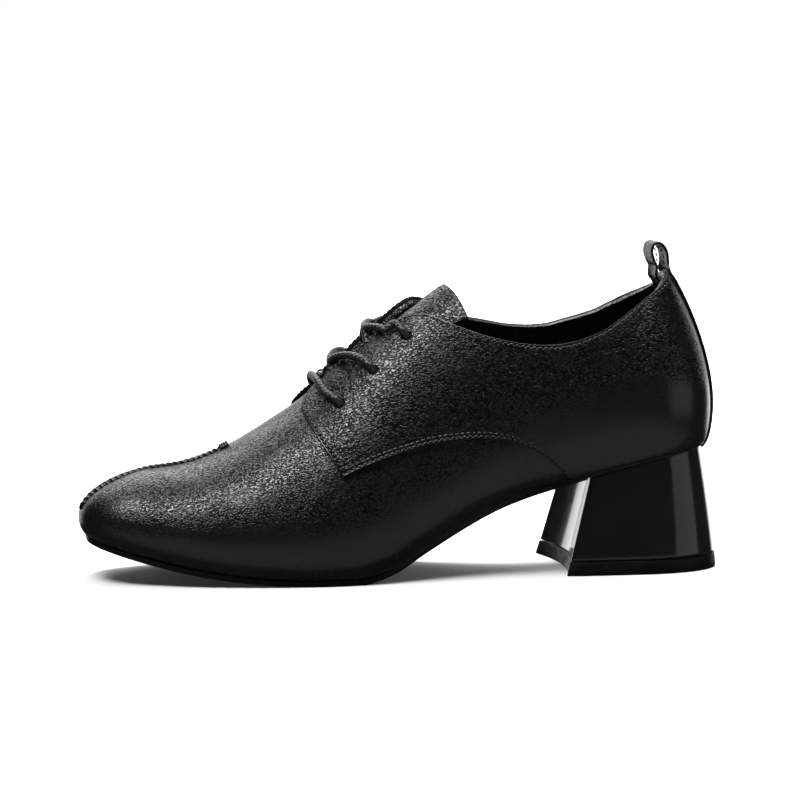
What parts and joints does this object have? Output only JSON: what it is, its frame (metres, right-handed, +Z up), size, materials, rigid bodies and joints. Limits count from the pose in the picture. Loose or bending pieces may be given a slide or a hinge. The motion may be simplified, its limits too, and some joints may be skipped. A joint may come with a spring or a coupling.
{
  "type": "casual shoe",
  "caption": "Black leather lace-up derby shoe for a left foot, round toe with a raised centre seam, flared block heel, pull loop at the back.",
  "frame": {"origin": "centre of the heel's face on the floor", "axes": "+Z up, -X towards the toe, -Y towards the outer side of the foot"},
  "size_m": [0.2469, 0.0818, 0.1255],
  "materials": {
    "leather": "semi-gloss",
    "lining": "matte",
    "sole": "satin",
    "rubber": "satin",
    "heel": "gloss",
    "lace": "waxed"
  },
  "bodies": {
    "root": {"upper": "leather", "quarter_outer": "leather", "quarter_inner": "leather", "tongue": "leather", "toe_seam": "leather", "back_strap": "leather", "insole": "lining", "outsole": "sole", "top_piece": "rubber", "heel_block": "heel", "lace_bar": "lace", "lace_crossing_1": "lace", "lace_crossing_2": "lace"}
  },
  "joints": []
}
